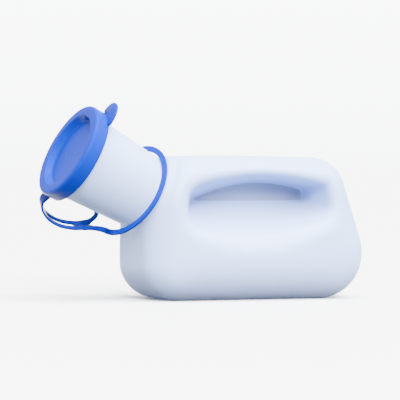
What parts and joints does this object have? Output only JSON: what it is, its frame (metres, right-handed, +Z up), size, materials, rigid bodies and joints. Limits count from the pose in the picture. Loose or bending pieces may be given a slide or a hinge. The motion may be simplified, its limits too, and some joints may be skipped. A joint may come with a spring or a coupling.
{
  "type": "urine bottle",
  "caption": "Hospital urine bottle lying on its side: translucent body with grip bar and slanted wide neck, snap lid on a tether strap and neck ring.",
  "frame": {"origin": "on the flat face the bottle lies on, midway along the body and on its middle plane", "axes": "+X towards the rear end of the body, away from the mouth; +Y across the body; +Z up from the resting face"},
  "size_m": [0.2554, 0.09, 0.1483],
  "materials": {
    "bottle_hdpe": "satin",
    "lid_ldpe": "gloss",
    "strap_ldpe": "gloss"
  },
  "bodies": {
    "bottle": {"bottle_body": "bottle_hdpe"},
    "collar": {"neck_ring": "strap_ldpe", "tether_strap": "strap_ldpe"},
    "cap": {"lid": "lid_ldpe"}
  },
  "joints": [
    {"name": "clip_turn", "type": "hinge", "parent": "bottle", "child": "collar", "pos_m": [-0.09, 0, 0.0836], "axis": [-0.887, 0, 0.4617], "continuous": true},
    {"name": "lid_swing", "type": "hinge", "parent": "collar", "child": "cap", "pos_m": [-0.15241, 0.01925, 0.0785], "axis": [-0.2309, -0.866, -0.4435], "range_deg": [0, 170], "deforming": ["tether_strap"]}
  ]
}
